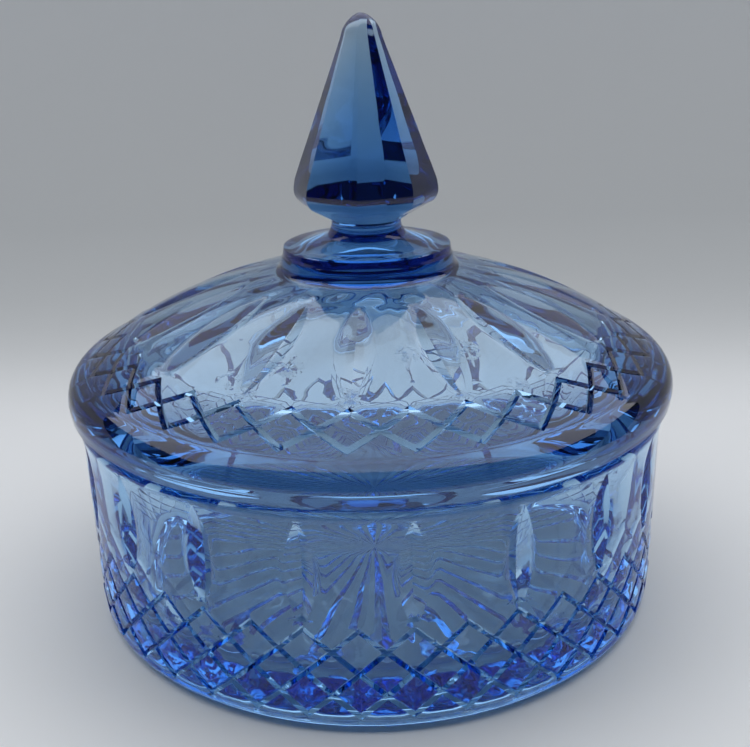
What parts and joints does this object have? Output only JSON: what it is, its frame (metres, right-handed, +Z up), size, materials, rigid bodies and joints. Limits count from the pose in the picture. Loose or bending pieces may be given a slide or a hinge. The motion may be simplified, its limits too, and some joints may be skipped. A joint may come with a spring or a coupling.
{
  "type": "covered candy dish",
  "caption": "Round covered candy dish in clear blue pressed glass: straight fluted bowl with a diamond-cut band, and a domed lid with a faceted spire knob.",
  "frame": {"origin": "on the table, at the middle of the bowl's foot ring", "axes": "+Z up along the axis of the dish, through the knob; -Y is the side that faces a viewer"},
  "size_m": [0.1516, 0.1516, 0.1435],
  "materials": {
    "bowl_glass": "clear blue, glossy",
    "lid_glass": "clear blue, glossy"
  },
  "bodies": {
    "bowl": {"bowl": "bowl_glass"},
    "lid": {"lid": "lid_glass"}
  },
  "joints": [
    {"name": "lid_lift", "type": "slide", "parent": "bowl", "child": "lid", "axis": [0, 0, 1], "range_m": [0, 0.1]}
  ]
}
